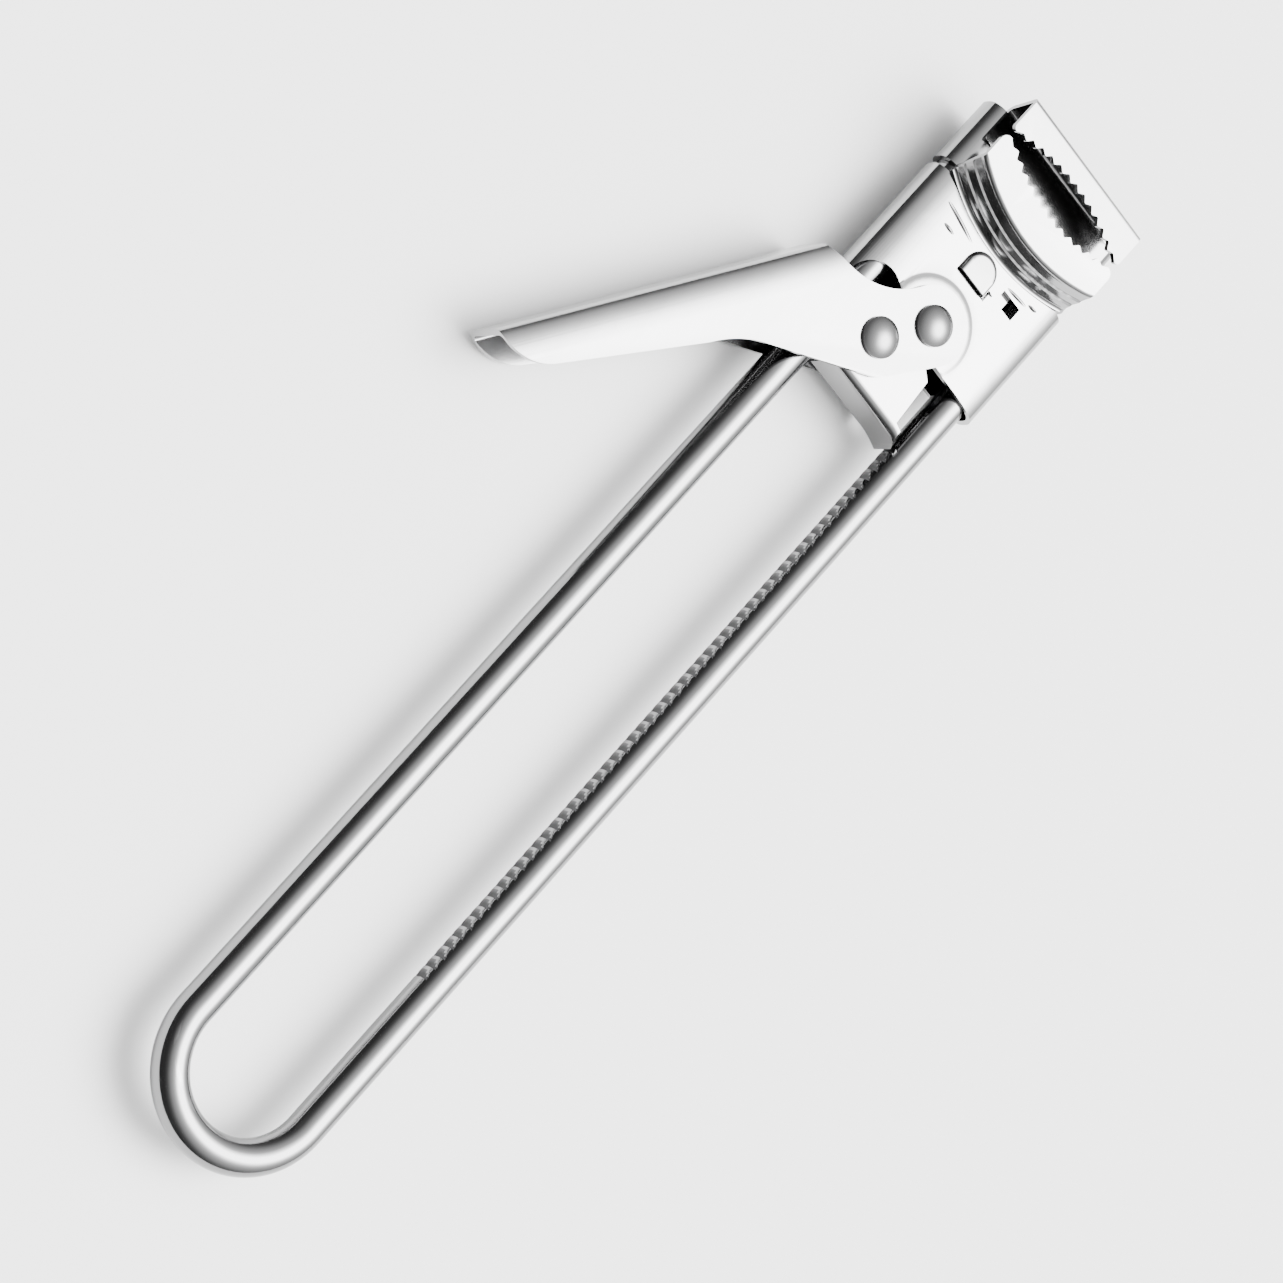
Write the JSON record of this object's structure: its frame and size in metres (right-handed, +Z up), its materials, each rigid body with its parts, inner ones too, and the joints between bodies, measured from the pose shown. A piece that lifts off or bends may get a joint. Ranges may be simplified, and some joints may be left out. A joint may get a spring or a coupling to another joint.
{
  "type": "adjustable jar opener",
  "caption": "Adjustable stainless steel jar and bottle-cap opener: a bent rod handle with ratchet teeth, a fixed toothed jaw, and a sliding toothed jaw driven by a squeeze lever and pawl.",
  "frame": {"origin": "middle of the bottom of the bounding box with the tool lying on its back, lever open, sliding head near the fixed jaw", "axes": "+X along the rod's legs towards the fixed jaw, +Y towards the lever's side, +Z up, out of the toothed plates"},
  "size_m": [0.218, 0.0712, 0.0173],
  "materials": {
    "rod_steel": "polished stainless steel rod",
    "jaw_steel": "polished stainless steel sheet",
    "sleeve_steel": "polished stainless steel sheet",
    "lever_steel": "polished stainless steel sheet",
    "pawl_steel": "polished stainless steel sheet",
    "rivet_steel": "polished domed rivet",
    "spacer_steel": "turned tube",
    "spring_steel": "bright spring wire"
  },
  "bodies": {
    "frame": {"u_rod": "rod_steel", "fixed_jaw": "jaw_steel"},
    "slider": {"slider_sleeve": "sleeve_steel", "sliding_jaw": "jaw_steel", "pivot_rivet": "rivet_steel", "pivot_spacer": "spacer_steel", "return_spring": "spring_steel"},
    "lever": {"lever": "lever_steel", "link_rivet": "rivet_steel"},
    "pawl": {"pawl": "pawl_steel"}
  },
  "joints": [
    {"name": "slider_slide", "type": "slide", "parent": "frame", "child": "slider", "axis": [1, 0, 0], "range_m": [-0.141, 0]},
    {"name": "lever_pivot", "type": "hinge", "parent": "slider", "child": "lever", "pos_m": [0.07125, -0.01746, 0.0073], "axis": [0, 0, 1], "range_deg": [0, 28.5], "stiffness_Nm_per_rad": 0.15, "springref_deg": -40.11, "deforming": ["return_spring"]},
    {"name": "pawl_pivot", "type": "hinge", "parent": "lever", "child": "pawl", "pos_m": [0.06238, -0.01182, 0.0073], "axis": [0, 0, 1], "range_deg": [-57, 0]}
  ],
  "couplings": [
    {"joint": "pawl_pivot", "follows": "lever_pivot", "ratio": -1.95}
  ]
}
